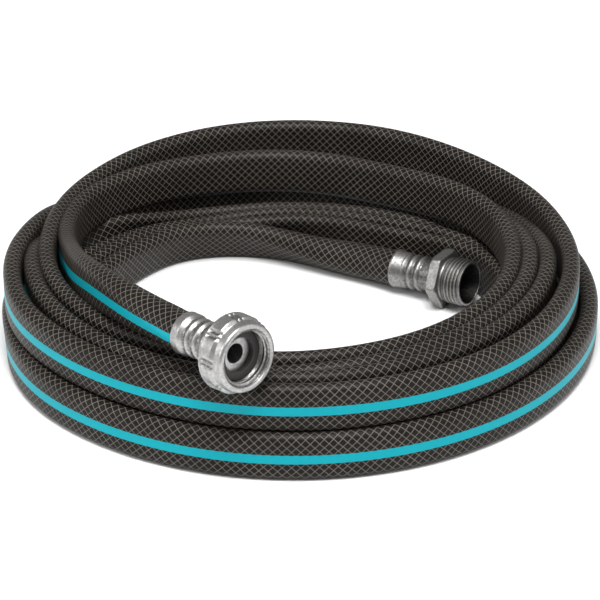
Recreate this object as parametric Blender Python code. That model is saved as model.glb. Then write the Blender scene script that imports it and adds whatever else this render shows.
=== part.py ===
"""Garden hose: a flat-laid reinforced hose wound into a two-layer coil, with crimped metal
couplings on both ends. Metres, +Z up. The coil lies on z = 0 and the origin is under the
middle of the whole part's outline. Turned pieces of a coupling run along their empty's +X."""

from math import ceil, cos, pi, radians, sin, sqrt

import bmesh
import bpy
from mathutils import Vector
from mathutils.geometry import interpolate_bezier

# Hose
HOSE_DIAMETER = 0.0208          # round, as it enters the couplings
HOSE_TALL = 0.0270              # pressed oval in the coil, upright
HOSE_WIDE = 0.0100              # pressed oval in the coil, across

# Coil
TURN_PITCH = 0.0103             # from one turn to the next, along a radius
LOWER_TURNS = 5
UPPER_TURNS = 4
LOWER_OUTER_RADIUS = 0.1715
UPPER_OUTER_RADIUS = 0.1645
LAYER_RISE = 0.0262             # the upper layer sinks a little between the lower turns
TURN_ARC_STEPS = 3              # odd, so that every turn has a flat where it rests
COIL_SEGMENTS = 60

# Clearances
TOUCH_GAP = 0.0003              # between pieces that touch
STRAIGHT_RUN = 0.0060           # hose kept straight before it enters a ferrule
SWIVEL_GAP = 0.0003             # around the stem in the swivel nut

# Crimped ferrule, the same on both ends
FERRULE_RADIUS = 0.0115
FERRULE_NECK_RADIUS = 0.0098
FERRULE_LENGTH = 0.0278
FERRULE_WALL = 0.0008
FERRULE_MOUTH = 0.0070          # how deep the round hose goes in before the crimps
FERRULE_END_WALL = 0.0015
CRIMP_COUNT = 3
CRIMP_DEPTH = 0.0007

# Stem of a coupling
STEM_RADIUS = 0.0075
STEM_BORE_RADIUS = 0.0052
FEMALE_SHOULDER = 0.0055        # stem left showing between the ferrule and the nut
MALE_SHOULDER = 0.0010          # and between the ferrule and the hex

# Female end: stem flange, rubber washer, swivel nut
NUT_LENGTH = 0.0148
NUT_BACK_WALL = 0.0026
NUT_LOBE_RADIUS = 0.0206
NUT_BODY_RADIUS = 0.0193
NUT_LOBES = 8
NUT_LOBED_LENGTH = 0.0088
NUT_RIM_RADIUS = 0.0184
NUT_RIM_ROUND = 0.0022
NUT_THREAD_RADIUS = 0.0136      # crest of the 3/4 inch hose thread that it takes
FLANGE_THICKNESS = 0.0020
WASHER_THICKNESS = 0.0030
WASHER_HOLE_RADIUS = 0.0093

# Male end: hex and threaded spigot in one piece
HEX_ACROSS_FLATS = 0.0305
HEX_THICKNESS = 0.0060
SPIGOT_RADIUS = 0.0135          # 3/4 inch hose thread, 1 1/16 inch over the crests
SPIGOT_LENGTH = 0.0140
SPIGOT_BORE_RADIUS = 0.0112
SPIGOT_BORE_DEPTH = 0.0110
SPIGOT_CHAMFER = 0.0010
ROUND_SEGMENTS = 36

# Where the couplings point, seen from above, and how far they tip up
FEMALE_HEADING = -48.0          # degrees from +X
FEMALE_TIP = 5.6
MALE_HEADING = -33.5
MALE_TIP = 4.8

# Routes of the uncoiled ends. A point is (bearing in degrees, share of the radius at which the
# route starts, rise in hose diameters); the start lies against the coil's inner wall.
FEMALE_ROUTE = [(180.0, 1.000, -0.54), (194.5, 0.989, -0.30), (208.4, 0.987, 0.21),
                (220.8, 1.030, 0.64), (237.1, 1.192, 0.86)]
FEMALE_MOUTH = (248.54, 1.332)
MALE_ROUTE = [(135.2, 1.000, 0.0), (121.9, 0.908, 0.0), (107.2, 0.797, 0.0), (77.9, 0.649, 0.0)]
MALE_START_INSET = 0.0100       # from the bore of the lower layer to the start of the male route
MALE_TIP_INSET = 0.0180         # from that bore to the middle of the spigot's end
MALE_TIP_BEARING = 8.6

COIL_HEIGHT = LAYER_RISE + HOSE_TALL
LOWER_INNER_RADIUS = LOWER_OUTER_RADIUS - (LOWER_TURNS - 1) * TURN_PITCH - HOSE_WIDE
UPPER_INNER_RADIUS = UPPER_OUTER_RADIUS - (UPPER_TURNS - 1) * TURN_PITCH - HOSE_WIDE


def clear_scene():
    for old in list(bpy.data.objects):
        bpy.data.objects.remove(old, do_unlink=True)


def make_material(name, colour, roughness, metallic):
    material = bpy.data.materials.new(name)
    material.use_nodes = True
    surface = material.node_tree.nodes["Principled BSDF"]
    surface.inputs["Base Color"].default_value = (*colour, 1.0)
    surface.inputs["Roughness"].default_value = roughness
    surface.inputs["Metallic"].default_value = metallic
    return material


def add_mesh_object(name, shape, material, parent=None):
    mesh = bpy.data.meshes.new(name)
    bmesh.ops.recalc_face_normals(shape, faces=shape.faces)
    shape.to_mesh(mesh)
    shape.free()
    mesh.shade_smooth()
    mesh.set_sharp_from_angle(angle=radians(32))
    mesh.materials.append(material)
    item = bpy.data.objects.new(name, mesh)
    item.parent = parent
    bpy.context.scene.collection.objects.link(item)
    return item


def lathe(name, outline, material, parent, start=0.0, segments=ROUND_SEGMENTS):
    """Closed ring turned about +X. Each outline point is (distance along X, radius), where
    the radius may be a function of the angle, as on a hex or a lobed grip."""
    shape = bmesh.new()
    rings = []
    for step in range(segments):
        angle = 2 * pi * step / segments
        ring = []
        for along, radius in outline:
            reach = radius(angle) if callable(radius) else radius
            ring.append(shape.verts.new((start + along, reach * cos(angle), reach * sin(angle))))
        rings.append(ring)
    for ring, following in zip(rings, rings[1:] + rings[:1]):
        for here in range(len(outline)):
            there = (here + 1) % len(outline)
            shape.faces.new((ring[here], ring[there], following[there], following[here]))
    return add_mesh_object(name, shape, material, parent)


def turn_arc(radius, height, upward):
    """Points across one turn's rounded top (or bottom), from its outer to its inner side."""
    half = HOSE_WIDE / 2
    points = []
    for step in range(TURN_ARC_STEPS + 1):
        angle = pi * step / TURN_ARC_STEPS
        lift = half * sin(angle) / cos(pi / (2 * TURN_ARC_STEPS))
        points.append((radius + half * cos(angle), height + upward * lift))
    return points


def coil_outline():
    """Section through the coil at +X: five turns side by side, four more on top of them."""
    half = HOSE_WIDE / 2
    upper = [UPPER_OUTER_RADIUS - half - turn * TURN_PITCH for turn in range(UPPER_TURNS)]
    lower = [LOWER_OUTER_RADIUS - half - turn * TURN_PITCH for turn in range(LOWER_TURNS)]
    outline = []
    for radius in upper:
        outline += turn_arc(radius, COIL_HEIGHT - half, 1)
    waist = LAYER_RISE
    outline.append((UPPER_INNER_RADIUS, waist + half))
    outline.append((LOWER_INNER_RADIUS + half, waist))
    outline.append((LOWER_INNER_RADIUS, waist - half))
    for radius in reversed(lower):
        outline += reversed(turn_arc(radius, half, -1))
    outline.append((LOWER_OUTER_RADIUS, waist - half))
    outline.append((UPPER_OUTER_RADIUS - half, waist))
    outline.append((UPPER_OUTER_RADIUS, waist + half))
    return outline


def build_coil(material, centre):
    """One turned ring with its bore, by spinning the coil's section about +Z."""
    shape = bmesh.new()
    corners = [shape.verts.new((radius, 0.0, height)) for radius, height in coil_outline()]
    edges = [shape.edges.new(pair) for pair in zip(corners, corners[1:] + corners[:1])]
    bmesh.ops.spin(shape, geom=corners + edges, cent=(0, 0, 0), axis=(0, 0, 1),
                   angle=2 * pi, steps=COIL_SEGMENTS, use_merge=True)
    bmesh.ops.remove_doubles(shape, verts=shape.verts, dist=0.00001)
    return add_mesh_object("hose_coil", shape, material, centre)


def smooth_route(points, tangents, spacing):
    """Points read at about the given spacing from a smooth curve through the route."""
    route = [points[0]]
    for here in range(len(points) - 1):
        start, end = points[here], points[here + 1]
        handle = (end - start).length / 3
        count = max(2, ceil((end - start).length / spacing) + 1)
        piece = interpolate_bezier(start, start + tangents[here] * handle,
                                   end - tangents[here + 1] * handle, end, count)
        route += piece[1:]
    return route


def hose_tube(name, points, mouth, end_direction, material, centre):
    """Uncoiled end of the hose, drawn out round, running straight into a ferrule's mouth."""
    seat = FERRULE_MOUTH - TOUCH_GAP
    points = points + [mouth - end_direction * STRAIGHT_RUN, mouth + end_direction * seat]
    tangents = [(points[1] - points[0]).normalized()]
    for before, after in zip(points, points[2:]):
        tangents.append((after - before).normalized())
    tangents[-1] = end_direction
    tangents.append(end_direction)
    curve = bpy.data.curves.new(name, "CURVE")
    curve.dimensions = "3D"
    curve.bevel_depth = HOSE_DIAMETER / 2
    curve.bevel_resolution = 4
    curve.use_fill_caps = True
    route = smooth_route(points, tangents, 1.2 * HOSE_DIAMETER)
    spline = curve.splines.new("POLY")
    spline.points.add(len(route) - 1)
    for place, position in zip(spline.points, route):
        place.co = (*position, 1.0)
    curve.materials.append(material)
    item = bpy.data.objects.new(name, curve)
    item.parent = centre
    bpy.context.scene.collection.objects.link(item)
    return item


def around(radius, bearing, height=0.0):
    """Point at a bearing round the coil's centre."""
    return Vector((radius * cos(radians(bearing)), radius * sin(radians(bearing)), height))


def hose_route(route, start_radius, base_height):
    return [around(start_radius * share, bearing, base_height + HOSE_DIAMETER * rise)
            for bearing, share, rise in route]


def heading_vector(heading, tip):
    return Vector((cos(radians(tip)) * cos(radians(heading)),
                   cos(radians(tip)) * sin(radians(heading)), sin(radians(tip))))


def coupling_axis(name, mouth, direction, centre):
    """Empty at a ferrule's mouth, with its +X along the coupling."""
    empty = bpy.data.objects.new(name, None)
    empty.location = mouth
    empty.rotation_euler = direction.to_track_quat("X", "Z").to_euler()
    empty.parent = centre
    bpy.context.scene.collection.objects.link(empty)
    return empty


def build_ferrule(name, material, axis):
    """Sleeve that grips the hose: rolled lip, three crimped grooves, tapered neck."""
    crimped = FERRULE_LENGTH - FERRULE_MOUTH - FERRULE_END_WALL
    pitch = crimped / CRIMP_COUNT
    fall = (FERRULE_RADIUS - FERRULE_NECK_RADIUS) / CRIMP_COUNT
    lip = FERRULE_WALL / 2
    outer = [(0.0, FERRULE_RADIUS - lip), (lip, FERRULE_RADIUS), (FERRULE_MOUTH, FERRULE_RADIUS)]
    for crimp in range(CRIMP_COUNT):
        start = FERRULE_MOUTH + crimp * pitch
        crest = FERRULE_RADIUS - (crimp + 1) * fall
        outer.append((start + 0.30 * pitch, crest - CRIMP_DEPTH))
        outer.append((start + 0.60 * pitch, crest))
        outer.append((start + pitch, crest))
    outer.append((FERRULE_LENGTH, FERRULE_NECK_RADIUS - lip))
    stem_hole = STEM_RADIUS + TOUCH_GAP
    cavity = FERRULE_NECK_RADIUS - CRIMP_DEPTH - FERRULE_WALL
    mouth_radius = HOSE_DIAMETER / 2 + TOUCH_GAP
    inner = [(FERRULE_LENGTH, stem_hole), (FERRULE_LENGTH - FERRULE_END_WALL, stem_hole),
             (FERRULE_LENGTH - FERRULE_END_WALL, cavity),
             (FERRULE_MOUTH + pitch / 2, cavity + fall),
             (FERRULE_MOUTH, mouth_radius), (0.0, mouth_radius)]
    return lathe(name, outer + inner, material, axis)


def build_tailpiece(material, axis):
    """Stem that the swivel nut turns on, with the flange that holds the nut."""
    start = FERRULE_MOUTH + TOUCH_GAP
    flange_back = FERRULE_LENGTH + FEMALE_SHOULDER + NUT_BACK_WALL + TOUCH_GAP
    flange_front = flange_back + FLANGE_THICKNESS
    flange_radius = NUT_THREAD_RADIUS - TOUCH_GAP
    outline = [(start, STEM_RADIUS), (flange_back, STEM_RADIUS), (flange_back, flange_radius),
               (flange_front, flange_radius), (flange_front, STEM_BORE_RADIUS),
               (start, STEM_BORE_RADIUS)]
    return lathe("female_tailpiece", outline, material, axis)


def build_washer(material, axis):
    """Flat rubber seal against the flange, inside the nut."""
    back = (FERRULE_LENGTH + FEMALE_SHOULDER + NUT_BACK_WALL + FLANGE_THICKNESS
            + 2 * TOUCH_GAP)
    front = back + WASHER_THICKNESS
    radius = NUT_THREAD_RADIUS - TOUCH_GAP
    outline = [(back, radius), (front, radius), (front, WASHER_HOLE_RADIUS),
               (back, WASHER_HOLE_RADIUS)]
    return lathe("rubber_washer", outline, material, axis)


def lobed(angle):
    """Radius of the nut's grip: wide lobes with hollows between them."""
    middle = (NUT_LOBE_RADIUS + NUT_BODY_RADIUS) / 2
    swing = (NUT_LOBE_RADIUS - NUT_BODY_RADIUS) / 2
    return middle + swing * cos(NUT_LOBES * angle)


def build_swivel_nut(material, axis):
    """Nut with a lobed grip behind, a rolled rim in front, and the threaded hole."""
    back = FERRULE_LENGTH + FEMALE_SHOULDER
    edge = 0.0008
    outline = [(0.0, NUT_BODY_RADIUS - edge), (edge, lobed), (NUT_LOBED_LENGTH, lobed),
               (NUT_LOBED_LENGTH + edge, NUT_RIM_RADIUS)]
    for step in range(4):
        angle = pi / 2 * step / 3
        outline.append((NUT_LENGTH - NUT_RIM_ROUND * (1 - sin(angle)),
                        NUT_RIM_RADIUS - NUT_RIM_ROUND * (1 - cos(angle))))
    mouth = NUT_THREAD_RADIUS + edge
    outline += [(NUT_LENGTH, mouth), (NUT_LENGTH - edge, NUT_THREAD_RADIUS),
                (NUT_BACK_WALL, NUT_THREAD_RADIUS),
                (NUT_BACK_WALL, STEM_RADIUS + SWIVEL_GAP), (0.0, STEM_RADIUS + SWIVEL_GAP)]
    return lathe("swivel_nut", outline, material, axis, start=back, segments=64)


def hexed(angle):
    """Radius of the hex, one corner to each sixth of a turn, with a flat underneath."""
    from_flat = angle % (pi / 3) - pi / 6
    return HEX_ACROSS_FLATS / 2 / cos(from_flat)


def build_male_fitting(material, axis):
    """Stem, hex and spigot in one piece. The spigot's thread is left to the finish."""
    start = FERRULE_MOUTH + TOUCH_GAP
    hex_back = FERRULE_LENGTH + MALE_SHOULDER
    hex_front = hex_back + HEX_THICKNESS
    tip = hex_front + SPIGOT_LENGTH
    step = tip - SPIGOT_BORE_DEPTH
    outline = [(start, STEM_RADIUS), (hex_back, STEM_RADIUS), (hex_back, hexed),
               (hex_front, hexed), (hex_front, SPIGOT_RADIUS),
               (tip - SPIGOT_CHAMFER, SPIGOT_RADIUS), (tip, SPIGOT_RADIUS - SPIGOT_CHAMFER),
               (tip, SPIGOT_BORE_RADIUS), (step, SPIGOT_BORE_RADIUS),
               (step, STEM_BORE_RADIUS), (start, STEM_BORE_RADIUS)]
    return lathe("male_fitting", outline, material, axis)


def build():
    clear_scene()
    hose_skin = make_material("hose_skin", (0.035, 0.030, 0.027), 0.42, 0.0)
    bright_metal = make_material("bright_metal", (0.62, 0.62, 0.62), 0.32, 1.0)
    dull_metal = make_material("dull_metal", (0.45, 0.45, 0.44), 0.42, 1.0)
    black_rubber = make_material("black_rubber", (0.030, 0.030, 0.028), 0.65, 0.0)

    female_direction = heading_vector(FEMALE_HEADING, FEMALE_TIP)
    male_direction = heading_vector(MALE_HEADING, MALE_TIP)

    # The nut's lobes clear the coil's top at every angle; the hex rests on the floor.
    nut_clear = COIL_HEIGHT + TOUCH_GAP + NUT_LOBE_RADIUS
    nut_back = FERRULE_LENGTH + FEMALE_SHOULDER
    hex_back = FERRULE_LENGTH + MALE_SHOULDER
    female_height = nut_clear - female_direction.z * nut_back
    male_height = HEX_ACROSS_FLATS / 2 + TOUCH_GAP - male_direction.z * hex_back

    female_start = UPPER_INNER_RADIUS - HOSE_DIAMETER / 2 - TOUCH_GAP
    female_bearing, female_share = FEMALE_MOUTH
    female_mouth = around(female_start * female_share, female_bearing, female_height)

    male_start = LOWER_INNER_RADIUS - MALE_START_INSET
    male_length = hex_back + HEX_THICKNESS + SPIGOT_LENGTH
    male_mouth = around(LOWER_INNER_RADIUS - MALE_TIP_INSET, MALE_TIP_BEARING)
    male_mouth -= male_direction * male_length
    male_mouth.z = male_height

    # The nut overhangs the coil's front, so the coil stands back by half of that.
    rim_along = nut_back + NUT_LENGTH - NUT_RIM_ROUND
    rim_middle = female_mouth + female_direction * rim_along
    sideways = sqrt(1 - female_direction.y ** 2)
    rim_reach = (NUT_RIM_RADIUS - NUT_RIM_ROUND) * sideways + NUT_RIM_ROUND
    overhang = rim_reach - rim_middle.y - LOWER_OUTER_RADIUS
    centre = bpy.data.objects.new("coil_centre", None)
    centre.location = (0.0, overhang / 2, 0.0)
    bpy.context.scene.collection.objects.link(centre)

    build_coil(hose_skin, centre)

    # Uncoiled ends: along the coil's inner wall, then away from it to the coupling.
    female_route = hose_route(FEMALE_ROUTE, female_start, COIL_HEIGHT)
    hose_tube("hose_female_end", female_route, female_mouth, female_direction, hose_skin, centre)
    male_route = hose_route(MALE_ROUTE, male_start, HOSE_DIAMETER / 2 + TOUCH_GAP)
    hose_tube("hose_male_end", male_route, male_mouth, male_direction, hose_skin, centre)

    female_axis = coupling_axis("female_coupling_axis", female_mouth, female_direction, centre)
    build_ferrule("female_ferrule", bright_metal, female_axis)
    build_tailpiece(bright_metal, female_axis)
    build_washer(black_rubber, female_axis)
    build_swivel_nut(bright_metal, female_axis)

    male_axis = coupling_axis("male_coupling_axis", male_mouth, male_direction, centre)
    build_ferrule("male_ferrule", dull_metal, male_axis)
    build_male_fitting(dull_metal, male_axis)


build()
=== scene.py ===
"""Garden hose: a reinforced PVC hose pressed flat and wound into a two-layer coil, with a
crimped aluminium coupling on each end. Metres; the coil stands on z = 0."""

import math

import bpy
import numpy as np
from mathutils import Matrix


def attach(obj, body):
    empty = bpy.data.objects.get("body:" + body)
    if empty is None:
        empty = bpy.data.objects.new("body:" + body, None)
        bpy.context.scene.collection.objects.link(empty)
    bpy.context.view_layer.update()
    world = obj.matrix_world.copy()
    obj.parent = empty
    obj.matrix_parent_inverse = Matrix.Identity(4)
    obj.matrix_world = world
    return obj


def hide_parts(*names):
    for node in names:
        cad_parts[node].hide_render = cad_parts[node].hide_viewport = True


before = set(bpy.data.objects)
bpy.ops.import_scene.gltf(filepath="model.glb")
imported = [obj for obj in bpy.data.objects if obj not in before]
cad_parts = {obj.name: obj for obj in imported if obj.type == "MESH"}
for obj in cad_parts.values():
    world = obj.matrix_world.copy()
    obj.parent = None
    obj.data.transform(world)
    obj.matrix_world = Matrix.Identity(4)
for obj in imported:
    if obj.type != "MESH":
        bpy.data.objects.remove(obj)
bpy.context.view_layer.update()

# The camera looks at the coil's front from a little above, with a long lens.
camera = bpy.data.objects.new("camera", bpy.data.cameras.new("camera"))
camera.location = (0.00315, -1.3233, 0.7303)
camera.rotation_euler = (math.radians(61.74), 0.0, 0.0)
camera.data.lens = 158.57
camera.data.sensor_width = 36.0
bpy.context.scene.collection.objects.link(camera)
bpy.context.scene.camera = camera
bpy.context.scene.view_settings.view_transform = "Standard"

# The hose: PVC, extruded round a net of yarn that shows through its skin, with one stripe
# moulded in. It is pressed to an upright oval and wound by hand: four upper turns, then five
# lower ones from the outside in. Its two ends stay round, where the couplings hold them.
MM = 0.001
COIL_MIDDLE = np.array([0.0, 0.007754, 0.0])
HOSE_GIRTH = 0.0654
# In mm: its width pressed flat, round and squeezed thin, and the height of the upper layer.
OVAL = 10.0
ROUND = 20.8
THIN = 7.5
UPPER = 26.2
# One list for each turn, clockwise from above: bearing in degrees, radius and height of the
# underside in mm, lay in degrees (0 stands on its edge, 90 lies flat), width across in mm.
# The third and fourth turns dip to the floor at the back and come up again at the right.
winding = [
    [(250.21, 152.67, 60.94, 0, ROUND), (248.54, 150.38, 60.45, 0, ROUND),
     (246.47, 147.81, 59.86, 0, ROUND), (244.33, 145.44, 59.4, 0, 19.9),
     (240, 141.6, 58.5, 0, 18.5), (232, 135.9, 56.3, 0, 15.6), (222, 130.7, 52.7, 0, 12.4),
     (212, 127.4, 48.0, 0, 10.4), (202, 125.6, 42.1, 0, OVAL), (192, 124.6, 36.2, 0, OVAL),
     (182, 126.4, 30.5, 0, OVAL), (173, 131.0, 26.8, 0, OVAL), (163, 136.0, 25.6, 0, OVAL),
     (152, 139.3, 25.5, 0, OVAL), (142, 139.5, 24.5, 0, OVAL), (131, 137.8, 23.5, 0, OVAL),
     (116, 132.0, 23.0, 0, OVAL), (102, 128.5, 23.0, 0, OVAL), (88.5, 125.5, 23.0, 0, OVAL),
     (76, 121.8, 23.0, 0, OVAL), (64.6, 118.8, 23.3, 0, OVAL), (55, 119.0, 23.8, 0, OVAL),
     (46.6, 121.0, 24.5, 0, OVAL), (36, 122.7, 25.5, 0, OVAL), (25.8, 123.8, UPPER, 0, OVAL),
     (0, 123.5, UPPER, 0, OVAL), (-41, 124.5, UPPER, 0, OVAL), (-58.4, 125.5, UPPER, 0, OVAL),
     (-74.4, 126.5, UPPER, 0, OVAL), (-90, 129.0, UPPER, 0, OVAL), (-110, 131.5, UPPER, 0, OVAL),
     (-130, 134.0, UPPER, 0, OVAL), (-150, 136.5, UPPER, 0, OVAL), (-170, 139.0, UPPER, 0, OVAL)],
    [(180, 139.8, UPPER, 0, OVAL), (172, 141.0, UPPER, 0, OVAL), (158, 144.7, UPPER, 0, OVAL),
     (148.7, 147.7, UPPER, 0, OVAL), (137.6, 151.3, UPPER, 0, OVAL), (128, 155.5, UPPER, 0, OVAL),
     (118, 158.7, UPPER, 0, OVAL), (104, 162.3, UPPER, 0, OVAL), (89, 163.3, UPPER, 0, OVAL),
     (72, 162.3, UPPER, 0, OVAL), (58, 158.5, UPPER, 0, OVAL), (41.5, 154.5, UPPER, 0, OVAL),
     (27.7, 153.4, UPPER, 0, OVAL), (14.4, 153.3, UPPER, 0, OVAL), (3.4, 154.5, UPPER, 0, OVAL),
     (-10, 156.4, UPPER, 0, OVAL), (-22, 158.1, UPPER, 0, OVAL), (-33, 159.8, UPPER, 0, OVAL),
     (-45, 161.2, UPPER, 0, OVAL), (-58, 162.2, UPPER, 0, OVAL), (-98, 162.5, UPPER, 0, OVAL),
     (-120, 161.9, UPPER, 0, OVAL), (-141, 162.3, UPPER, 0, OVAL),
     (-153, 162.8, UPPER, 0, OVAL), (-164, 160.9, UPPER, 0, OVAL)],
    [(178, 156.5, 25.5, 0, OVAL), (170, 153.5, 24.5, 0, OVAL), (163, 152.5, 22.5, 0, OVAL),
     (155.6, 153.0, 18.0, 0, OVAL), (151, 153.5, 13.5, 0, OVAL), (146, 154.0, 8.5, 0, OVAL),
     (140, 154.0, 3.5, 0, OVAL), (133, 154.0, 0.5, 0, OVAL), (125, 153.5, 0, 0, OVAL),
     (90, 148.0, 0, 0, OVAL), (70, 145.0, 0, 0, OVAL), (55, 142.0, 2.0, 0, OVAL),
     (42, 140.5, 6.5, 0, OVAL), (31, 140.0, 12.1, 0, OVAL), (25, 140.0, 14.7, 0, OVAL),
     (18, 140.2, 17.4, 0, OVAL), (10.6, 140.8, 20.2, 0, OVAL), (3, 141.8, 23.2, 0, OVAL),
     (-6, 143.0, 25.8, 0, OVAL), (-16, 143.8, UPPER, 0, OVAL), (-30, 144.4, UPPER, 0, OVAL),
     (-60, 146.5, UPPER, 0, OVAL), (-89, 149.5, UPPER, 0, OVAL), (-120, 150.0, UPPER, 0, OVAL),
     (-150, 149.0, UPPER, 0, OVAL), (-168.6, 148.0, 25.5, 0, OVAL)],
    [(180, 147.2, 23.0, 0, OVAL), (174, 147.0, 19.5, 0, OVAL), (168, 147.0, 13.5, 0, OVAL),
     (162, 147.0, 7.5, 0, OVAL), (156, 146.5, 3.0, 0, OVAL), (148, 145.5, 0.3, 0, OVAL),
     (138, 143.5, 0, 0, OVAL), (120, 141.0, 0, 0, OVAL), (90, 139.5, 0, 0, OVAL),
     (70, 134.5, 0.5, 0, OVAL), (55, 132.0, 4.0, 0, OVAL), (42, 130.7, 10.0, 0, OVAL),
     (31, 130.2, 15.5, 0, OVAL), (24.3, 130.0, 18.8, 0, OVAL), (17.8, 130.2, 21.1, 0, OVAL),
     (9.7, 131.0, 23.4, 0, OVAL), (0, 132.3, 25.6, 0, OVAL), (-12, 133.4, UPPER, 0, OVAL),
     (-30, 134.2, UPPER, 0, OVAL), (-50, 135.5, UPPER, 0, OVAL),
     (-64, 137.5, UPPER, 0, OVAL), (-74, 138.7, UPPER, 0, OVAL), (-84, 139.5, 25.0, 0, OVAL),
     (-94, 140.5, 23.0, 20, OVAL), (-105, 142.0, 22.0, 55, OVAL), (-118, 145.5, 21.5, 85, OVAL),
     (-132, 148.5, 19.0, 90, OVAL), (-146, 150.0, 15.5, 90, OVAL), (-160, 150.5, 11.5, 90, OVAL),
     (-172, 151.0, 11.5, 90, OVAL)],
    [(176, 151.5, 11.5, 86, OVAL), (165, 153.5, 10.5, 68, OVAL), (153, 157.5, 5.0, 34, OVAL),
     (142, 160.5, 0, 0, OVAL), (120, 162.5, 0, 0, OVAL), (90, 163.0, 0, 0, OVAL),
     (60, 164.0, 0, 0, OVAL), (30, 165.5, 0, 0, OVAL), (0, 167.2, 0, 0, OVAL),
     (-24, 167.6, 0, 0, OVAL), (-60, 167.0, 0, 0, OVAL), (-119, 166.8, 0, 0, OVAL),
     (-142, 167.0, 0, 0, OVAL), (-152, 165.6, 0, 0, OVAL), (-168, 161.0, 0, -4, OVAL)],
    [(182, 155.5, 0, -36, OVAL), (173, 150.5, 0, -66, OVAL), (164, 147.5, 0, -75, OVAL),
     (157, 142.5, 0, -60, OVAL), (150, 137.5, 0, -30, 9.0), (143, 133.5, 0, 5, THIN),
     (137, 131.0, 0, 25, THIN), (122, 125.8, 0, 44, THIN), (114, 120.8, 0, 43, THIN),
     (106, 116.4, 0, 40, THIN), (99, 112.4, 0, 34, THIN), (88.5, 106.4, 0, 24, THIN),
     (74, 102.6, 0, 12, THIN), (62, 104.0, 0, 8, THIN), (48, 112.5, 0, 20, THIN),
     (38, 125.0, 0, 50, THIN), (31, 136.0, 0, 74, THIN), (25, 141.5, 0, 76, THIN),
     (18, 145.0, 0, 70, THIN), (10, 148.0, 0, 60, THIN), (3, 151.5, 0, 45, THIN),
     (-6, 154.0, 0, 25, 9.0), (-20, 156.5, 0, 5, OVAL), (-40, 157.0, 0, 0, OVAL),
     (-60, 156.6, 0, 0, OVAL), (-90, 156.0, 0, 0, OVAL), (-120, 154.5, 0, 0, OVAL),
     (-150, 148.0, 0, 0, OVAL), (-170, 142.5, 0, 0, OVAL)],
    [(180, 139.5, 0, 0, OVAL), (165, 132.0, 0, 15, 9.0), (150, 125.5, 0, 30, THIN),
     (137, 121.5, 0, 38, THIN), (125, 113.5, 0, 42, THIN), (116, 110.5, 0, 42, THIN),
     (107, 106.5, 0, 37, THIN), (95.7, 101.8, 0, 28, THIN), (80.7, 95.0, 0, 14, THIN),
     (68, 92.8, 0, 2, THIN), (51.1, 98.1, 0, 0, THIN), (44.6, 102.8, 0, 2, THIN),
     (39.6, 108.3, 0, 8, THIN), (32.3, 119.0, 0, 24, THIN), (24, 130.5, 0, 40, THIN),
     (16.2, 134.4, 0, 45, THIN), (7.5, 137.0, 0, 42, THIN), (0, 138.8, 0, 28, THIN),
     (-12, 141.5, 0, 8, 9.0), (-25, 143.0, 0, 0, OVAL), (-60, 145.0, 0, 0, OVAL),
     (-90, 146.0, 0, 0, OVAL), (-120, 144.0, 0, 0, OVAL), (-150, 138.0, 0, 0, OVAL),
     (-170, 132.5, 0, 0, OVAL)],
    [(180, 129.5, 0, 0, OVAL), (165, 122.5, 0, 8, 9.0), (150, 115.5, 0, 16, THIN),
     (137, 112.0, 0, 28, THIN), (119, 101.2, 0, 36, THIN), (109.6, 95.2, 0, 33, THIN),
     (96.4, 89.4, 0, 24, THIN), (88, 86.4, 0, 16, THIN), (74, 83.3, 0, 6, THIN),
     (63, 82.8, 0, 0, THIN), (46.3, 88.2, 0, 0, THIN), (39, 95.0, 0, 6, THIN),
     (30, 106.5, 0, 10, THIN), (21, 114.6, 0, 0, THIN), (14.8, 117.0, 0, 0, THIN),
     (8, 118.6, 0, 0, THIN), (0, 121.8, 0, 0, THIN), (-12, 128.5, 0, 0, 9.0),
     (-25, 132.8, 0, 0, OVAL), (-60, 135.0, 0, 0, OVAL), (-90, 136.0, 0, 0, OVAL),
     (-120, 133.5, 0, 0, OVAL), (-150, 127.0, 0, 0, OVAL), (-170, 121.5, 0, 0, OVAL)],
    [(180, 119.0, 0, 0, OVAL), (165, 112.0, 0, 5, OVAL), (150.4, 106.0, 0, 12, OVAL),
     (136.9, 103.0, 0, 18, 9.5), (121.4, 94.2, 0, 23, 9.5), (108.3, 84.6, 0, 26, 10.0),
     (98, 77.6, 0, 32, 12.0), (87.6, 72.0, 0, 38, 14.0), (77, 68.2, 0, 42, 16.0),
     (67.3, 66.6, 0.4, 42, 18.3), (57, 67.2, 1.0, 42, 20.0), (50, 68.7, 1.3, 42, ROUND),
     (43.91, 70.27, 1.74, 42, ROUND), (39.25, 71.82, 2.24, 42, ROUND),
     (34.81, 73.81, 2.74, 42, ROUND), (31.31, 75.79, 3.16, 42, ROUND)],
]


def eased(places, values, wanted):
    """Smooth value between stations: a cubic through each pair, whose slope at a station is
    the harmonic mean of the chords on its two sides, or level where the values turn back."""
    step = np.diff(places)
    chord = np.diff(values) / step
    slope = np.concatenate([chord[:1], np.zeros(len(chord) - 1), chord[-1:]])
    onward = chord[:-1] * chord[1:] > 0
    both = chord[:-1] + chord[1:]
    slope[1:-1][onward] = (2 * chord[:-1] * chord[1:])[onward] / both[onward]
    here = np.clip(np.searchsorted(places, wanted, side="right") - 1, 0, len(step) - 1)
    t = (wanted - places[here]) / step[here]
    before, after = values[here], values[here + 1]
    return (before * (1 + 2 * t) * (1 - t) ** 2 + after * t ** 2 * (3 - 2 * t)
            + step[here] * t * (1 - t) * (slope[here] * (1 - t) - slope[here + 1] * t))


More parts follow.
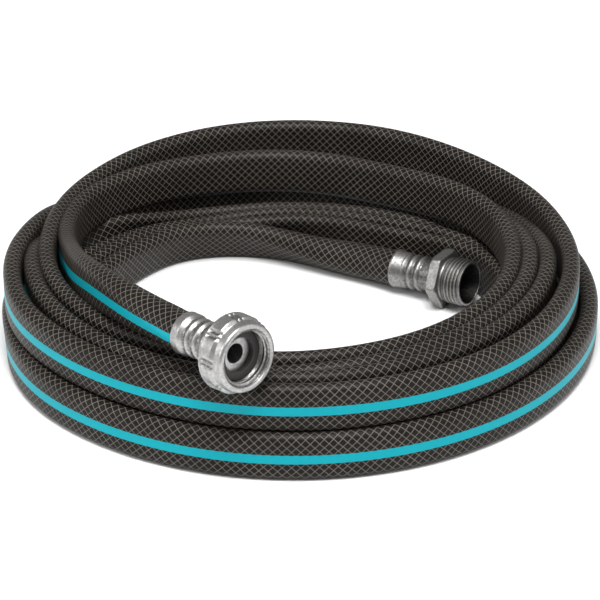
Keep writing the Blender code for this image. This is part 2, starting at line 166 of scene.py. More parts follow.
def relaxed(values, spread):
    """The values averaged with a bell curve as wide as the spread, in samples. Up to one
    spread from either end they stay as they are, and over the next 2.5 the average comes in."""
    reach = int(3 * spread)
    bell = np.exp(-0.5 * (np.arange(-reach, reach + 1) / spread) ** 2)
    padded = np.pad(values, reach, mode="edge")
    soft = np.convolve(padded, bell / bell.sum(), mode="valid")
    from_end = np.minimum(np.arange(len(values)), np.arange(len(values))[::-1])
    share = np.clip((from_end - spread) / (2.5 * spread), 0.0, 1.0)
    return values + share * (soft - values)


SAMPLES_PER_DEGREE = 4
SPREAD = 5.0 * SAMPLES_PER_DEGREE
RINGS = 1800
HOSE_AROUND = 48
stations = np.array([(360.0 * turn - bearing, *rest)
                     for turn, rows in enumerate(winding) for bearing, *rest in rows])
travelled = np.linspace(stations[0, 0], stations[-1, 0],
                        int((stations[-1, 0] - stations[0, 0]) * SAMPLES_PER_DEGREE))
radius, underside, lay, width = (
    relaxed(eased(stations[:, 0], stations[:, column], travelled), SPREAD)
    for column in (1, 2, 3, 4))
straight = (HOSE_GIRTH / MM - math.pi * width) / 2
middle_height = underside + width / 2 + straight / 2 * np.cos(np.radians(lay))
bearing = np.radians(-travelled)
route = COIL_MIDDLE + MM * np.stack(
    [radius * np.cos(bearing), radius * np.sin(bearing), middle_height], axis=1)
along = np.concatenate([[0.0], np.cumsum(np.linalg.norm(np.diff(route, axis=0), axis=1))])
ring_along = np.linspace(0.0, along[-1], RINGS)
route = np.stack([np.interp(ring_along, along, route[:, axis]) for axis in range(3)], axis=1)
lay = np.radians(np.interp(ring_along, along, lay))
width = MM * np.interp(ring_along, along, width)


def oval(width, girth, share):
    """Outline of the pressed hose, for a share of its girth counted from the middle of its
    outer face: a straight side, a half circle over the top, the other side, a half circle
    underneath. The girth stays the same, so the sides give what the width takes."""
    side = (girth - math.pi * width) / 2
    place = share * girth
    over = (place - side / 2) / (width / 2)
    under = (place - side * 1.5 - math.pi * width / 2) / (width / 2) + math.pi
    stretch = [place < side / 2, over < math.pi, place < side * 1.5 + math.pi * width / 2,
               under < 2 * math.pi]
    across = np.select(stretch, [width / 2, width / 2 * np.cos(over), -width / 2,
                                 width / 2 * np.cos(under)], width / 2)
    tall = np.select(stretch, [place, side / 2 + width / 2 * np.sin(over),
                               side + math.pi * width / 2 - place,
                               -side / 2 + width / 2 * np.sin(under)], place - girth)
    return across, tall


def carried(route, lay, width, girth, around):
    """Points of the hose: its oval outline carried along the route, upright across the route's
    direction and turned about it by the lay."""
    tangent = np.gradient(route, axis=0)
    tangent /= np.linalg.norm(tangent, axis=1, keepdims=True)
    up = np.array([0.0, 0.0, 1.0]) - tangent[:, 2:] * tangent
    up /= np.linalg.norm(up, axis=1, keepdims=True)
    outward = np.cross(up, tangent)
    cosine, sine = np.cos(lay)[:, None], np.sin(lay)[:, None]
    flat, edge = outward * cosine + up * sine, up * cosine - outward * sine
    share = np.arange(around) / around
    across, tall = oval(width[:, None], girth, share[None, :])
    return route[:, None] + across[..., None] * flat[:, None] + tall[..., None] * edge[:, None]


def smooth_object(name, mesh):
    """Object of a mesh, shaded smooth and linked into the scene."""
    mesh.shade_smooth()
    item = bpy.data.objects.new(name, mesh)
    bpy.context.scene.collection.objects.link(item)
    return item


def closed_tube(name, rings, ends, along, girth, rolled):
    """Mesh of a tube from its rings, closed at both ends by a fan to a middle point, with a
    UV map in metres: along the hose, and round it from the middle of its outer face, plus the
    way that each ring's skin is rolled round it."""
    length, around = rings.shape[:2]
    points = np.concatenate([rings.reshape(-1, 3), ends])
    ring, step = np.meshgrid(np.arange(length - 1), np.arange(around), indexing="ij")
    after = (step + 1) % around
    quads = np.stack([ring * around + step, ring * around + after,
                      (ring + 1) * around + after, (ring + 1) * around + step], axis=-1)
    step, after = np.arange(around), (np.arange(around) + 1) % around
    first, last = np.full(around, length * around), np.full(around, length * around + 1)
    start = np.stack([after, step, first], axis=1)
    finish = np.stack([step, after, last], axis=1)
    finish[:, :2] += (length - 1) * around
    mesh = bpy.data.meshes.new(name)
    mesh.from_pydata(points, [],
                     quads.reshape(-1, 4).tolist() + start.tolist() + finish.tolist())
    v_here = (np.where(step < around / 2, step, step - around) / around * girth)[None, :]
    v_here = v_here.repeat(length - 1, 0)
    v_next = v_here + girth / around
    roll_here, roll_next = rolled[:-1, None], rolled[1:, None]
    u_here = along[:-1, None].repeat(around, 1)
    u_next = along[1:, None].repeat(around, 1)
    uv = np.stack([np.stack([u_here, v_here + roll_here], -1),
                   np.stack([u_here, v_next + roll_here], -1),
                   np.stack([u_next, v_next + roll_next], -1),
                   np.stack([u_next, v_here + roll_next], -1)], axis=2)
    caps = np.zeros((2 * around * 3, 2))
    layer = mesh.uv_layers.new(name="hose_skin")
    layer.data.foreach_set("uv", np.concatenate([uv.reshape(-1, 2), caps]).ravel())
    return smooth_object(name, mesh)


rings = carried(route, lay, width, HOSE_GIRTH, HOSE_AROUND)
# The stripe keeps to the outer face, a little low where the third turn comes up at the right,
# and from the crossing at the left on it has rolled underneath.
ROLL_DEGREES = [640.0, 680.0, 730.0, 770.0, 1600.0, 1680.0]
ROLL_SHARES = [0.0, 0.1, 0.1, 0.0, 0.0, 0.25]
roll = relaxed(np.interp(travelled, ROLL_DEGREES, ROLL_SHARES), SPREAD)
roll = np.interp(ring_along, along, roll) * HOSE_GIRTH
hose = closed_tube("hose", rings, route[[0, -1]], ring_along, HOSE_GIRTH, roll)


def node(tree, kind, inputs=(), **settings):
    """One shader node, with its settings, its inputs set to values or linked from sockets."""
    made = tree.nodes.new(kind)
    for name, value in settings.items():
        setattr(made, name, value)
    for key, value in dict(inputs).items():
        socket = made.inputs[key]
        if isinstance(value, bpy.types.NodeSocket):
            tree.links.new(value, socket)
        else:
            socket.default_value = value
    return made


def maths(tree, operation, *values):
    """One step of arithmetic on numbers or sockets."""
    made = node(tree, "ShaderNodeMath", enumerate(values), operation=operation)
    return made.outputs[0]


def mixed(tree, share, first, second):
    """Colour between two others, by a mask."""
    made = node(tree, "ShaderNodeMix", {0: share, 6: first, 7: second}, data_type="RGBA")
    return made.outputs[2]


def rough_noise(tree, scale, detail):
    """Cloudy value between 0 and 1 over the piece."""
    place = node(tree, "ShaderNodeTexCoord").outputs["Object"]
    return node(tree, "ShaderNodeTexNoise",
                {"Vector": place, "Scale": scale, "Detail": detail}).outputs["Fac"]


def between(tree, value, low, high):
    """The value, from 0 to 1, spread over a range."""
    return node(tree, "ShaderNodeMapRange",
                {"Value": value, "To Min": low, "To Max": high}).outputs["Result"]


def fading(tree, value, full, gone, **settings):
    """Mask that is 1 up to one value and falls to 0 at another."""
    return node(tree, "ShaderNodeMapRange",
                {"Value": value, "From Min": full, "From Max": gone, "To Min": 1.0,
                 "To Max": 0.0}, **settings).outputs["Result"]


def finish_material(name):
    """A new material and its Principled shader."""
    material = bpy.data.materials.new(name)
    material.use_nodes = True
    return material, material.node_tree, material.node_tree.nodes["Principled BSDF"]


def dress(tree, skin, color, roughness, height, strength):
    """Link a colour, a roughness and the height of a relief to a Principled shader."""
    bump = node(tree, "ShaderNodeBump", {"Height": height, "Distance": 1.0,
                                         "Strength": strength})
    tree.links.new(color, skin.inputs["Base Color"])
    tree.links.new(roughness, skin.inputs["Roughness"])
    tree.links.new(bump.outputs["Normal"], skin.inputs["Normal"])


# Skin of the hose: near-black PVC with a dull shine, over crossed yarns that lie a little
# proud and paler. The stripe is plain and has no yarn in it.
YARNS_ROUND = 14
YARN_PITCH = 0.0047
YARN_CORE = 0.018
YARN_EDGE = 0.082
STRIPE_WIDTH = 0.0052
STRIPE_BLUR = 0.0001
hose_skin, tree, skin = finish_material("hose_skin")
uv = node(tree, "ShaderNodeUVMap", uv_map="hose_skin").outputs["UV"]
split = node(tree, "ShaderNodeSeparateXYZ", {"Vector": uv})
u = maths(tree, "DIVIDE", split.outputs["X"], YARN_PITCH)
v = maths(tree, "DIVIDE", split.outputs["Y"], HOSE_GIRTH / YARNS_ROUND)
strand_a = maths(tree, "PINGPONG", maths(tree, "ADD", u, v), 0.5)
strand_b = maths(tree, "PINGPONG", maths(tree, "SUBTRACT", u, v), 0.5)
nearest = maths(tree, "MINIMUM", strand_a, strand_b)
yarn = fading(tree, nearest, YARN_CORE, YARN_EDGE, interpolation_type="SMOOTHSTEP")
from_stripe = maths(tree, "ABSOLUTE", maths(tree, "WRAP", split.outputs["Y"],
                                            HOSE_GIRTH / 2, -HOSE_GIRTH / 2))
stripe = fading(tree, from_stripe, STRIPE_WIDTH / 2 - STRIPE_BLUR,
                STRIPE_WIDTH / 2 + STRIPE_BLUR)
grain = rough_noise(tree, 900.0, 2.0)
patches = rough_noise(tree, 35.0, 3.0)
pvc = mixed(tree, patches, (0.0045, 0.0037, 0.0032, 1.0), (0.0100, 0.0083, 0.0072, 1.0))
thread = mixed(tree, patches, (0.090, 0.078, 0.064, 1.0), (0.230, 0.204, 0.172, 1.0))
netted = mixed(tree, yarn, pvc, thread)
skin.inputs["Specular IOR Level"].default_value = 0.14
relief = maths(tree, "MULTIPLY", yarn, maths(tree, "SUBTRACT", 1.0, stripe))
height = maths(tree, "ADD", maths(tree, "MULTIPLY", relief, 0.00032),
               maths(tree, "MULTIPLY", grain, 0.00006))
dress(tree, skin, mixed(tree, stripe, netted, (0.0, 0.330, 0.400, 1.0)),
      between(tree, grain, 0.36, 0.50), height, 0.8)
hose.data.materials.append(hose_skin)

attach(hose, "hose")
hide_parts("hose_coil", "hose_female_end", "hose_male_end")

# The female ferrule: a drawn aluminium sleeve with a plain lip. It is slid over the end of the
# hose and crimped down on it by a press, which leaves three rounded rings with grooves between.
FEMALE_MOUTH = np.array([-0.055018, -0.132203, 0.07085])
FEMALE_AXIS = np.array([0.665937, -0.739598, 0.097583])
FERRULE_AROUND = 96
OUTSIDE_POINTS = 160
LIP_RADIUS = 11.5
MOUTH_RADIUS = 10.7
CAVITY_RADIUS = 8.8
RING_HALF_WIDTH = 2.1
NECK_END = 27.8
STEM_HOLE = 7.8


def softened(outline, reach, steps=4):
    """Closed outline of (along, radius) points with each corner rounded: a parabola from one
    side to the other, which starts at the reach from the corner or, if that is nearer, at a
    third of the shorter side, and has one more point on each side just beyond it."""
    corner = np.array(outline, dtype=float)
    back, ahead = np.roll(corner, 1, axis=0) - corner, np.roll(corner, -1, axis=0) - corner
    back_length = np.linalg.norm(back, axis=1, keepdims=True)
    ahead_length = np.linalg.norm(ahead, axis=1, keepdims=True)
    size = np.minimum(reach, np.minimum(back_length, ahead_length) / 3)
    start = corner + back / back_length * size
    end = corner + ahead / ahead_length * size
    t = np.linspace(0.0, 1.0, steps)[None, :, None]
    arc = ((1 - t) ** 2 * start[:, None] + 2 * t * (1 - t) * corner[:, None]
           + t ** 2 * end[:, None])
    before = corner + back / back_length * size * 1.35
    after = corner + ahead / ahead_length * size * 1.35
    return np.concatenate([before[:, None], arc, after[:, None]], axis=1).reshape(-1, 2)


def turned(name, along, radius, place, axis, painted_shade=0.0):
    """Mesh of a turned piece: point (i, j) lies along[i] from the place on the axis and
    radius[i, j] away from the axis, j steps round it from straight up. Both ways round the
    grid closes on itself. Its UV map holds the way along the outline, in metres, and the
    share of a turn; its attribute holds how much painted shade each point's colour gets."""
    rows, columns = radius.shape
    sideways = np.cross([0.0, 0.0, 1.0], axis)
    sideways /= np.linalg.norm(sideways)
    upwards = np.cross(axis, sideways)
    angle = 2 * math.pi * np.arange(columns) / columns
    spoke = np.cos(angle)[:, None] * upwards + np.sin(angle)[:, None] * sideways
    points = place + MM * (along[:, None, None] * axis + radius[..., None] * spoke)
    row, column = np.meshgrid(np.arange(rows), np.arange(columns), indexing="ij")
    next_row, next_column = (row + 1) % rows, (column + 1) % columns
    quads = np.stack([row * columns + column, next_row * columns + column,
                      next_row * columns + next_column, row * columns + next_column], axis=-1)
    mesh = bpy.data.meshes.new(name)
    mesh.from_pydata(points.reshape(-1, 3), [], quads.reshape(-1, 4).tolist())
    outline = np.stack([along, radius[:, 0]], axis=1)
    way = np.concatenate([[0.0], np.cumsum(np.linalg.norm(
        np.roll(outline, -1, axis=0) - outline, axis=1))]) * MM
    u = np.stack([way[row], way[row + 1], way[row + 1], way[row]], axis=-1)
    v = np.stack([column, column, column + 1, column + 1], axis=-1) / columns
    mesh.uv_layers.new(name="turning").data.foreach_set("uv", np.stack([u, v], -1).ravel())
    # Painted shade for each point, kept as a mesh attribute that darkens the metal's colour.
    painted_shades = np.broadcast_to(painted_shade, radius.shape).astype(np.float32).ravel()
    mesh.attributes.new("painted_shade", "FLOAT", "POINT").data.foreach_set("value", painted_shades)
    return smooth_object(name, mesh)


def smooth_step(share):
    """From 0 to 1, level at both ends: three of the square less two of the cube."""
    return share * share * (3 - 2 * share)


def ferrule_outline(lip, fall_length, ring_places, ring_radius, groove_radius):
    """Outline of a ferrule: outside, the lip falls by a smooth step to the neck, on which each
    ring bulges by one less the square of the distance from its middle, to the power 1.5, and
    the last points of the rounded corner at the mouth come before it; inside, the hole for
    the hose, a cavity and the hole for the stem. Lengths and radii in mm."""
    along = np.linspace(0.5, NECK_END - 0.5, OUTSIDE_POINTS)
    fall = smooth_step(np.clip((along - lip) / fall_length, 0.0, 1.0))
    neck = np.full(OUTSIDE_POINTS, groove_radius)
    for place in ring_places:
        bulge = np.clip(1 - ((along - place) / RING_HALF_WIDTH) ** 2, 0.0, 1.0) ** 1.5
        neck = np.maximum(neck, groove_radius + (ring_radius - groove_radius) * bulge)
    outside = np.stack([along, LIP_RADIUS + (neck - LIP_RADIUS) * fall], axis=1)
    near_end = softened([(0.0, MOUTH_RADIUS), (0.0, LIP_RADIUS), (6.0, LIP_RADIUS)], 0.45)[6:11]
    far_end = np.array([[NECK_END - 0.15, outside[-1, 1] - 0.1], [NECK_END, outside[-1, 1] - 0.4],
                        [NECK_END, STEM_HOLE]])
    inside = np.array([[NECK_END - 1.4, STEM_HOLE], [NECK_END - 1.5, CAVITY_RADIUS],
                       [8.0, CAVITY_RADIUS], [7.0, MOUTH_RADIUS], [0.2, MOUTH_RADIUS],
                       [0.0, MOUTH_RADIUS + 0.15]])
    return np.concatenate([near_end, outside, far_end, inside])


def evenly(outline, around):
    """The outline's places along the axis, and its radius the same all the way round."""
    return outline[:, 0], outline[:, 1:].repeat(around, axis=1)


def painted_shade_in_grooves(outline, top, depth):
    """Painted shade for each point, deeper in the grooves: its way below the top as a share of
    the depth, at most 0.7."""
    return np.clip((top - outline[:, 1]) / depth, 0.0, 0.7)[:, None]


# The grooves between the rings of the ferrule get painted shade.
female_outline = ferrule_outline(4.6, 3.6, (10.8, 16.9, 23.1), 10.8, 9.6)
female_ferrule = turned("ferrule_female", *evenly(female_outline, FERRULE_AROUND),
                        FEMALE_MOUTH, FEMALE_AXIS, painted_shade_in_grooves(female_outline, 10.5, 1.0))

# Finish of the metal: fine lines from turning run round each piece, over a faint grain from
# casting, with duller patches from handling, and painted shade that darkens the recesses in
# patches. Each alloy gives it its own two greys.
metal_finish = bpy.data.node_groups.new("metal_finish", "ShaderNodeTree")
for label, kind in (("Paler", "NodeSocketColor"), ("Darker", "NodeSocketColor"),
                    ("Smoothest", "NodeSocketFloat"), ("Roughest", "NodeSocketFloat")):
    metal_finish.interface.new_socket(label, in_out="INPUT", socket_type=kind)
for label, kind in (("Color", "NodeSocketColor"), ("Roughness", "NodeSocketFloat"),
                    ("Height", "NodeSocketFloat")):
    metal_finish.interface.new_socket(label, in_out="OUTPUT", socket_type=kind)
given = metal_finish.nodes.new("NodeGroupInput").outputs
turning = node(metal_finish, "ShaderNodeUVMap", uv_map="turning").outputs["UV"]
way = node(metal_finish, "ShaderNodeSeparateXYZ", {"Vector": turning}).outputs["X"]
lines = node(metal_finish, "ShaderNodeTexNoise", {"W": way, "Scale": 3200.0, "Detail": 3.0},
             noise_dimensions="1D").outputs["Fac"]
cast = rough_noise(metal_finish, 1400.0, 3.0)
handled = node(metal_finish, "ShaderNodeMapRange",
               {"Value": rough_noise(metal_finish, 700.0, 5.0), "From Min": 0.38,
                "From Max": 0.62}).outputs["Result"]
speckled = maths(metal_finish, "ADD", maths(metal_finish, "MULTIPLY", handled, 0.6),
                 maths(metal_finish, "MULTIPLY", cast, 0.4))
# Painted shade: where a piece's attribute says so (grooves, hollows, thread roots, the inside of
# the nut), the colour is darkened towards near-black, in patches.
painted_shade = node(metal_finish, "ShaderNodeAttribute", attribute_name="painted_shade").outputs["Fac"]
painted_shade = maths(metal_finish, "MULTIPLY", painted_shade, between(metal_finish, handled, 0.55, 0.95))
cleaned = mixed(metal_finish, speckled, given["Paler"], given["Darker"])
sent = metal_finish.nodes.new("NodeGroupOutput")
for label, value in (
        ("Color", mixed(metal_finish, painted_shade, cleaned, (0.045, 0.042, 0.038, 1.0))),
        ("Roughness", node(metal_finish, "ShaderNodeMapRange",
                           {"Value": speckled, "To Min": given["Smoothest"],
                            "To Max": given["Roughest"]}).outputs["Result"]),
        ("Height", maths(metal_finish, "ADD", maths(metal_finish, "MULTIPLY", lines, 0.00010),
                         maths(metal_finish, "MULTIPLY", cast, 0.00006)))):
    metal_finish.links.new(value, sent.inputs[label])


def metal(name, paler, darker, smoothest, roughest):
    """Material of a metal: two greys and two roughnesses, spread by the shared finish."""
    material, tree, skin = finish_material(name)
    finish = node(tree, "ShaderNodeGroup", node_tree=metal_finish)
    finish.inputs["Paler"].default_value = (*paler, 1.0)
    finish.inputs["Darker"].default_value = (*darker, 1.0)
    finish.inputs["Smoothest"].default_value = smoothest
    finish.inputs["Roughest"].default_value = roughest
    skin.inputs["Metallic"].default_value = 1.0
    dress(tree, skin, finish.outputs["Color"], finish.outputs["Roughness"],
          finish.outputs["Height"], 0.7)
    return material


bright_aluminium = metal("bright_aluminium", (0.50, 0.495, 0.485), (0.32, 0.315, 0.31),
                         0.30, 0.46)
female_ferrule.data.materials.append(bright_aluminium)
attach(female_ferrule, "hose")
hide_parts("female_ferrule")

# The tailpiece: a turned aluminium stem, pushed into the hose before the ferrule is crimped.
# Its flange holds the nut on and carries the washer.
STEM_START = 7.3
STEM_RADIUS = 7.5
STEM_BORE = 5.2
FLANGE_BACK = 36.2
FLANGE_FRONT = 38.2
FLANGE_RADIUS = 13.3
tailpiece_outline = softened(
    [(STEM_START, STEM_BORE), (STEM_START, STEM_RADIUS), (FLANGE_BACK, STEM_RADIUS),
     (FLANGE_BACK, FLANGE_RADIUS), (FLANGE_FRONT, FLANGE_RADIUS),
     (FLANGE_FRONT, STEM_BORE)], 0.4)
tailpiece = turned("tailpiece", *evenly(tailpiece_outline, FERRULE_AROUND),
                   FEMALE_MOUTH, FEMALE_AXIS)
tailpiece.data.materials.append(bright_aluminium)
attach(tailpiece, "hose")
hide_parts("female_tailpiece")

# The washer: a flat ring stamped from black rubber, which lies loose on the flange inside the
# nut and seals against the tap.
WASHER_BACK = 38.5
WASHER_FRONT = 41.5
WASHER_HOLE = 9.3
WASHER_RADIUS = 13.3
washer_outline = softened([(WASHER_BACK, WASHER_HOLE), (WASHER_BACK, WASHER_RADIUS),
                           (WASHER_FRONT, WASHER_RADIUS), (WASHER_FRONT, WASHER_HOLE)], 0.35)
washer = turned("washer", *evenly(washer_outline, FERRULE_AROUND), FEMALE_MOUTH, FEMALE_AXIS)
black_rubber, tree, skin = finish_material("black_rubber")
grain = rough_noise(tree, 1100.0, 3.0)
dress(tree, skin, mixed(tree, grain, (0.012, 0.012, 0.011, 1.0), (0.035, 0.033, 0.031, 1.0)),
      between(tree, grain, 0.50, 0.72), maths(tree, "MULTIPLY", grain, 0.00008), 0.8)
washer.data.materials.append(black_rubber)
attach(washer, "nut")
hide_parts("rubber_washer")

# The swivel nut: die-cast aluminium, turned in front to a rolled rim. Behind, its grip has
# eight broad lobes; between them lie hollows, each with a small rib. Its hole is threaded.
NUT_BACK = 33.3
NUT_FACE = 48.1
NUT_AROUND = 288
NECK_HOLE = 7.8
BACK_WALL = 2.6
GRIP_RADIUS = 20.6
GRIP_END = 41.2
SHOULDER_END = 43.4
COLLAR_RADIUS = 18.4
RIM_ROLL = 1.7
HOLE_RADIUS = 13.7
THREAD_PITCH = 2.209
THREAD_DEPTH = 1.5
NUT_THREAD_ROWS = 72
LOBES = 8
LOBE_SPAN = 360.0 / LOBES
LOBE_TURN = 17.5
HOLLOW_DEPTH = 1.35
RIB_HEIGHT = 0.85
LOBE_CROWN = 0.25


def threaded(along, start, end, angle, pitch):
    """Height of a thread, from 0 in its root to 1 on its crest: a cosine wave that moves one
    pitch along the axis with each turn, squared off a little, which comes in and fades out
    over 0.6 of a pitch at its two ends."""
    turn = along[:, None] / pitch - angle[None, :] / (2 * math.pi)
    wave = 0.5 + 0.5 * np.clip(1.35 * np.cos(2 * math.pi * turn), -1.0, 1.0)
    inside = np.minimum(along - start, end - along)[:, None] / (0.6 * pitch)
    return wave * np.clip(inside, 0.0, 1.0)


nut_angle = 2 * math.pi * np.arange(NUT_AROUND) / NUT_AROUND
thread_start, thread_end = NUT_BACK + 8.4, NUT_FACE - 0.7
thread_along = np.linspace(thread_end, thread_start, NUT_THREAD_ROWS)
share = np.linspace(0.0, 1.0, 14)
shoulder = np.stack([GRIP_END + (SHOULDER_END - GRIP_END) * share,
                     GRIP_RADIUS + (COLLAR_RADIUS + 0.3 - GRIP_RADIUS) * smooth_step(share)],
                    axis=1)
roll_angle = np.linspace(0.0, math.pi / 2, 10)
rim = np.stack([NUT_FACE - RIM_ROLL * (1 - np.sin(roll_angle)),
                COLLAR_RADIUS - RIM_ROLL * (1 - np.cos(roll_angle))], axis=1)
outside = np.concatenate([
    [(NUT_BACK, NECK_HOLE + 0.8), (NUT_BACK, GRIP_RADIUS - 0.9), (NUT_BACK, GRIP_RADIUS - 0.5),
     (NUT_BACK + 0.15, GRIP_RADIUS - 0.2), (NUT_BACK + 0.4, GRIP_RADIUS),
     (NUT_BACK + 0.8, GRIP_RADIUS), (NUT_BACK + 1.1, GRIP_RADIUS), (NUT_BACK + 1.4, GRIP_RADIUS),
     (NUT_BACK + 1.8, GRIP_RADIUS), (NUT_BACK + 3.5, GRIP_RADIUS), (GRIP_END - 1, GRIP_RADIUS)],
    shoulder, [(SHOULDER_END + 0.8, COLLAR_RADIUS + 0.2)], rim,
    [(NUT_FACE, HOLE_RADIUS + 2.3), (NUT_FACE - 0.1, HOLE_RADIUS + 2.1),
     (NUT_FACE - 0.5, HOLE_RADIUS + 1.7)]])
inside = np.array([
    (thread_start - 0.6, HOLE_RADIUS), (NUT_BACK + BACK_WALL + 0.1, HOLE_RADIUS),
    (NUT_BACK + BACK_WALL, HOLE_RADIUS - 0.1), (NUT_BACK + BACK_WALL, NECK_HOLE + 0.1),
    (NUT_BACK + BACK_WALL - 0.1, NECK_HOLE), (NUT_BACK + 0.1, NECK_HOLE),
    (NUT_BACK, NECK_HOLE + 0.1), (NUT_BACK, NECK_HOLE + 0.4)])
nut_along = np.concatenate([outside[:, 0], thread_along, inside[:, 0]])
nut_radius = np.concatenate([outside[:, 1], np.full(NUT_THREAD_ROWS, HOLE_RADIUS + THREAD_DEPTH),
                             inside[:, 1]])
nut_radius = nut_radius[:, None].repeat(NUT_AROUND, axis=1)
# Round the grip, in degrees from the middle of a hollow: the hollow has soft edges 6 degrees
# away, the rib is a bell curve in its middle, and a lobe is highest half way between hollows.
from_hollow = (np.degrees(nut_angle) + LOBE_TURN) % LOBE_SPAN - LOBE_SPAN / 2
hollow = 1 / (1 + np.exp((np.abs(from_hollow) - 6.0) / 0.8))
rib = np.exp(-0.5 * (from_hollow / 1.6) ** 2)
crown = (from_hollow / (LOBE_SPAN / 2)) ** 2
sunk = (HOLLOW_DEPTH * hollow - RIB_HEIGHT * rib * hollow
        + LOBE_CROWN * (1 - crown) * (1 - hollow))
on_grip = np.clip((nut_along - NUT_BACK - 0.7) / 1.2, 0.0, 1.0) * np.clip(
    (SHOULDER_END - nut_along) / (SHOULDER_END - GRIP_END), 0.0, 1.0)
nut_radius[:len(outside)] -= (on_grip[:, None] * sunk)[:len(outside)]
threads = slice(len(outside), len(outside) + NUT_THREAD_ROWS)
crest = threaded(thread_along, thread_start, thread_end, nut_angle, THREAD_PITCH)
nut_radius[threads] -= THREAD_DEPTH * crest
# Painted shade: darker in the hollows of the grip, over all the inside of the nut, and most in
# the roots of its thread.
nut_painted_shade = on_grip[:, None] * np.clip(sunk - 0.3, 0.0, 0.75)
nut_painted_shade[len(outside):] = 0.5
nut_painted_shade[threads] = 0.8 * (1 - crest)
swivel_nut = turned("nut_with_grip", nut_along, nut_radius, FEMALE_MOUTH, FEMALE_AXIS,
                    nut_painted_shade)
swivel_nut.data.materials.append(bright_aluminium)
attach(swivel_nut, "nut")
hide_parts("swivel_nut")

# The male ferrule: a drawn aluminium sleeve as on the other end, crimped down on the hose in
# the same way, with a shorter lip and a duller surface.
MALE_MOUTH = np.array([0.060599, 0.049892, 0.01314])
MALE_AXIS = np.array([0.830961, -0.550001, 0.083678])
male_outline = ferrule_outline(0.8, 5.0, (7.8, 12.4, 17.6), 10.4, 9.2)
# The grooves between its rings get painted shade.
male_ferrule = turned("ferrule_male", *evenly(male_outline, FERRULE_AROUND),
                      MALE_MOUTH, MALE_AXIS, painted_shade_in_grooves(male_outline, 10.1, 1.1))
dull_aluminium = metal("dull_aluminium", (0.34, 0.335, 0.325), (0.20, 0.195, 0.19), 0.34, 0.52)
male_ferrule.data.materials.append(dull_aluminium)
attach(male_ferrule, "hose")
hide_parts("male_ferrule")

# The male fitting: one aluminium casting, stem, hex and spigot. The hex is milled and its
# corners are turned off; the spigot is bored wide and threaded outside.
HEX_BACK = 28.8
HEX_FRONT = 34.8
HEX_ACROSS_FLATS = 30.5
HEX_CORNER = 17.6
HEX_FACE_RADIUS = 16.5
SPIGOT_END = 48.8
SPIGOT_THREAD_ROWS = 90
CREST_RADIUS = 13.5
ROOT_RADIUS = 12.5
SPIGOT_BORE = 11.4
SPIGOT_STEP = 37.8
FITTING_AROUND = 192
fitting_angle = 2 * math.pi * np.arange(FITTING_AROUND) / FITTING_AROUND
thread_start, thread_end = HEX_FRONT + 1.4, SPIGOT_END - 0.9
thread_along = np.linspace(thread_start, thread_end, SPIGOT_THREAD_ROWS)
stem = softened([(STEM_START, STEM_BORE), (STEM_START, STEM_RADIUS), (HEX_BACK, STEM_RADIUS),
                 (HEX_BACK, 11.5)], 0.4)[:-6]
hex_along = np.array([HEX_BACK, HEX_BACK, HEX_BACK + 0.1, HEX_BACK + 0.6, HEX_BACK + 1.3,
                      HEX_FRONT - 1.3, HEX_FRONT - 0.6, HEX_FRONT - 0.1, HEX_FRONT, HEX_FRONT])
hex_limit = np.array([11.5, HEX_FACE_RADIUS, HEX_FACE_RADIUS + 0.4, HEX_CORNER - 0.3, HEX_CORNER,
                      HEX_CORNER, HEX_CORNER - 0.3, HEX_FACE_RADIUS + 0.4, HEX_FACE_RADIUS, 14.2])
undercut = np.array([(HEX_FRONT, 13.3), (HEX_FRONT + 0.1, ROOT_RADIUS + 0.2),
                     (HEX_FRONT + 0.8, ROOT_RADIUS)])
lip = np.array([(SPIGOT_END - 0.5, ROOT_RADIUS + 0.4), (SPIGOT_END - 0.1, ROOT_RADIUS + 0.1),
                (SPIGOT_END, ROOT_RADIUS - 0.1), (SPIGOT_END, SPIGOT_BORE + 0.2)])
bore = np.array([(SPIGOT_END - 0.2, SPIGOT_BORE), (SPIGOT_STEP + 0.3, SPIGOT_BORE),
                 (SPIGOT_STEP, SPIGOT_BORE - 0.3), (SPIGOT_STEP, STEM_BORE + 0.3),
                 (SPIGOT_STEP - 0.3, STEM_BORE)])
fitting_along = np.concatenate([stem[:, 0], hex_along, undercut[:, 0], thread_along,
                                lip[:, 0], bore[:, 0]])
from_flat = (fitting_angle + math.pi / 6) % (math.pi / 3) - math.pi / 6
flats = HEX_ACROSS_FLATS / 2 / np.cos(from_flat)
hexed = np.minimum(flats[None, :], hex_limit[:, None])
crest = threaded(thread_along, thread_start, thread_end, fitting_angle, THREAD_PITCH)
fitting_radius = np.concatenate([
    evenly(stem, FITTING_AROUND)[1], hexed, evenly(undercut, FITTING_AROUND)[1],
    ROOT_RADIUS + (CREST_RADIUS - ROOT_RADIUS) * crest, evenly(lip, FITTING_AROUND)[1],
    evenly(bore, FITTING_AROUND)[1]])
# Painted shade in the roots of the spigot's thread.
fitting_painted_shade = np.zeros(fitting_radius.shape)
first_thread = len(stem) + len(hex_along) + len(undercut)
fitting_painted_shade[first_thread:first_thread + SPIGOT_THREAD_ROWS] = 0.7 * (1 - crest)
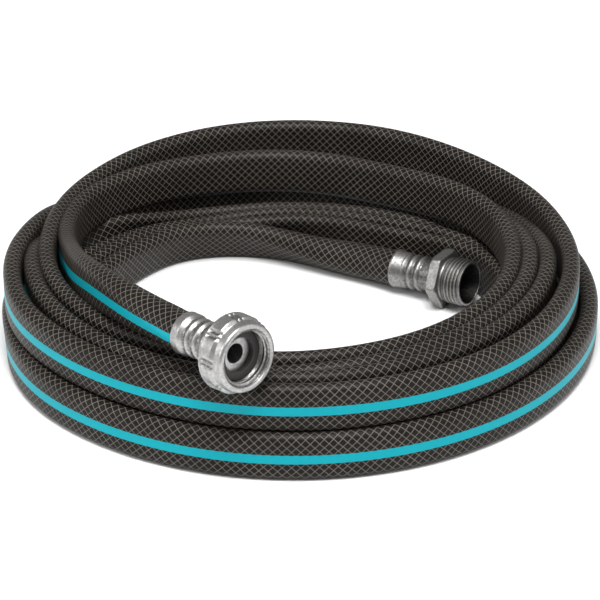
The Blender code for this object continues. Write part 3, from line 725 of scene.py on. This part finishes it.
male_fitting = turned("fitting_male", fitting_along, fitting_radius, MALE_MOUTH, MALE_AXIS,
                      fitting_painted_shade)
male_fitting.data.materials.append(dull_aluminium)
# The wall of its bore, from the mouth inward, is painted nearly black as painted shade.
painted_shade_bore = metal("painted_shade_bore", (0.022, 0.021, 0.020), (0.010, 0.010, 0.009), 0.45, 0.65)
male_fitting.data.materials.append(painted_shade_bore)
face_row = np.arange(len(male_fitting.data.polygons)) // FITTING_AROUND
male_fitting.data.polygons.foreach_set(
    "material_index", (face_row >= len(fitting_along) - len(bore)).astype(int))
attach(male_fitting, "hose")
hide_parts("male_fitting")

# The floor and the light: a wide pale floor, a pale world all round it, and soft light from
# above and from both sides.
floor = bpy.data.objects.new("floor", bpy.data.meshes.new("floor"))
floor.data.from_pydata([(-6, -6, 0), (6, -6, 0), (6, 6, 0), (-6, 6, 0)], [], [(0, 1, 2, 3)])
bpy.context.scene.collection.objects.link(floor)
floor_paint, tree, paint = finish_material("floor_paint")
paint.inputs["Base Color"].default_value = (0.90, 0.90, 0.90, 1.0)
paint.inputs["Roughness"].default_value = 0.9
floor.data.materials.append(floor_paint)

world = bpy.data.worlds.new("studio")
world.use_nodes = True
world.node_tree.nodes["Background"].inputs["Color"].default_value = (1.0, 1.0, 1.0, 1.0)
world.node_tree.nodes["Background"].inputs["Strength"].default_value = 0.34
bpy.context.scene.world = world


def soft_light(name, place, aim, size, power):
    """Square area light at a place, facing a point."""
    lamp = bpy.data.objects.new(name, bpy.data.lights.new(name, "AREA"))
    lamp.data.size, lamp.data.energy = size, power
    lamp.location = place
    look = np.array(aim) - np.array(place)
    flat = math.hypot(look[0], look[1])
    lamp.rotation_euler = (math.atan2(flat, -look[2]), 0.0, math.atan2(look[1], look[0])
                           - math.pi / 2)
    bpy.context.scene.collection.objects.link(lamp)


for name, place, power in (("above", (0.0, -0.55, 1.6), 36.0), ("left", (-1.5, -0.5, 0.8), 9.0),
                           ("right", (1.5, -0.4, 0.8), 7.0)):
    soft_light(name, place, (0.0, 0.0, 0.0), 0.8, power)
